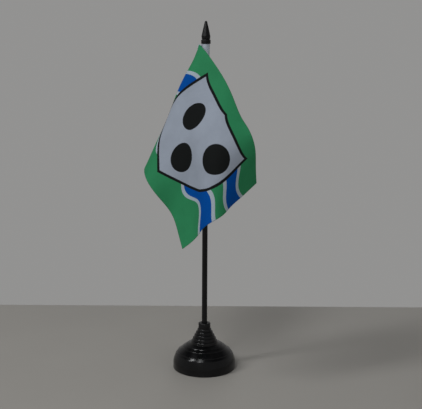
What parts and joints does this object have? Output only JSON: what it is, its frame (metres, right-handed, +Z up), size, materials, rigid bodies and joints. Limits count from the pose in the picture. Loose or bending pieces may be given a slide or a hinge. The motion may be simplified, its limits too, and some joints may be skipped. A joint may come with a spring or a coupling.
{
  "type": "desk flag stand",
  "caption": "Small cloth flag on a round plastic pole with a spear finial, standing in a stepped round plastic base",
  "frame": {"origin": "on the resting surface, under the middle of the base", "axes": "+Z up along the pole, -Y to the front, +X to the right seen from the front"},
  "size_m": [0.0952, 0.0986, 0.305],
  "materials": {
    "base_plastic": "glossy moulded black",
    "pole_plastic": "glossy extruded black",
    "finial_plastic": "satin moulded black",
    "sleeve_cloth": "plain white woven polyester",
    "printed_cloth": "printed polyester with a slight sheen"
  },
  "bodies": {
    "base": {"base": "base_plastic"},
    "pole": {"pole": "pole_plastic"},
    "finial": {"finial": "finial_plastic"},
    "sleeve": {"flag_sleeve": "sleeve_cloth"},
    "flag": {"sleeve_tail": "sleeve_cloth", "flag_panel": "printed_cloth"}
  },
  "joints": [
    {"name": "pole_lift", "type": "slide", "parent": "base", "child": "pole", "axis": [0, 0, 1], "range_m": [0, 0.0387]},
    {"name": "finial_pull", "type": "slide", "parent": "pole", "child": "finial", "axis": [0, 0, 1], "range_m": [0, 0.0074]},
    {"name": "sleeve_slide", "type": "slide", "parent": "pole", "child": "sleeve", "axis": [0, 0, -1], "range_m": [0, 0.1]},
    {"name": "flag_turn", "type": "hinge", "parent": "sleeve", "child": "flag", "pos_m": [0, 0, 0.235], "axis": [0, 0, 1], "continuous": true}
  ]
}
